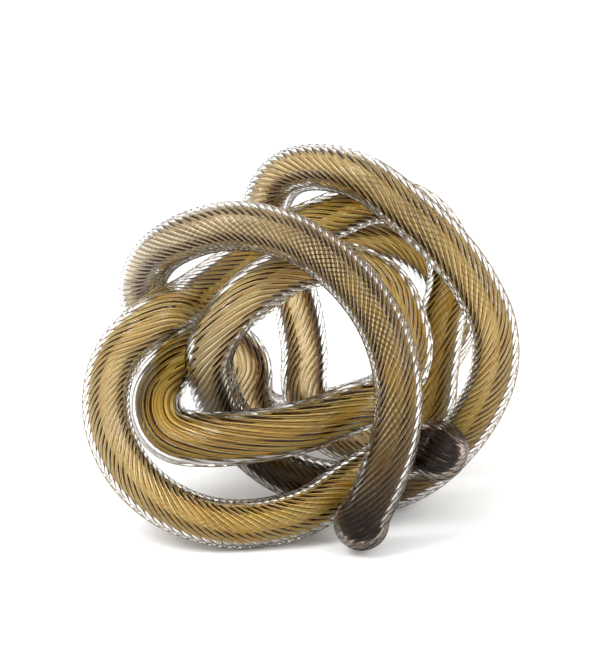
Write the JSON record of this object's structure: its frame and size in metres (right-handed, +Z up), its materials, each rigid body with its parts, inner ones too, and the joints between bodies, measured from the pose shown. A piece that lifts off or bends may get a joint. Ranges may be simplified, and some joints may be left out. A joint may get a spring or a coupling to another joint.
{
  "type": "glass knot sculpture",
  "caption": "Free-standing knot tied from one long rope of twisted amber glass, with rounded dark ends; a desk ornament or paperweight.",
  "frame": {"origin": "middle of the knot's plan box, on the surface that it stands on", "axes": "+Z up, +X to the right and +Y away from someone who looks at the front arch"},
  "size_m": [0.1502, 0.1344, 0.1212],
  "materials": {
    "amber_glass": "clear glass over an amber layer, with fine brown threads twisted round it, polished",
    "dark_glass": "dense smoke-brown glass, fire polished"
  },
  "bodies": {
    "root": {"back_fall": "amber_glass", "back_foot": "amber_glass", "back_turn": "amber_glass", "crown_run": "amber_glass", "far_foot": "amber_glass", "far_rise": "amber_glass", "front_arch": "amber_glass", "front_post": "amber_glass", "front_shoulder": "amber_glass", "front_tip": "dark_glass", "inner_crown": "amber_glass", "inner_fall": "amber_glass", "inner_rise": "amber_glass", "left_foot": "amber_glass", "left_shoulder": "amber_glass", "left_side": "amber_glass", "middle_bar": "amber_glass", "middle_fall": "amber_glass", "middle_turn": "amber_glass", "right_foot": "amber_glass", "right_rise": "amber_glass", "shoulder_turn": "amber_glass", "side_crown": "amber_glass", "side_rise": "amber_glass", "tail_run": "amber_glass", "tail_tip": "dark_glass", "top_slope": "amber_glass", "top_turn": "amber_glass", "under_run": "amber_glass"}
  },
  "joints": []
}
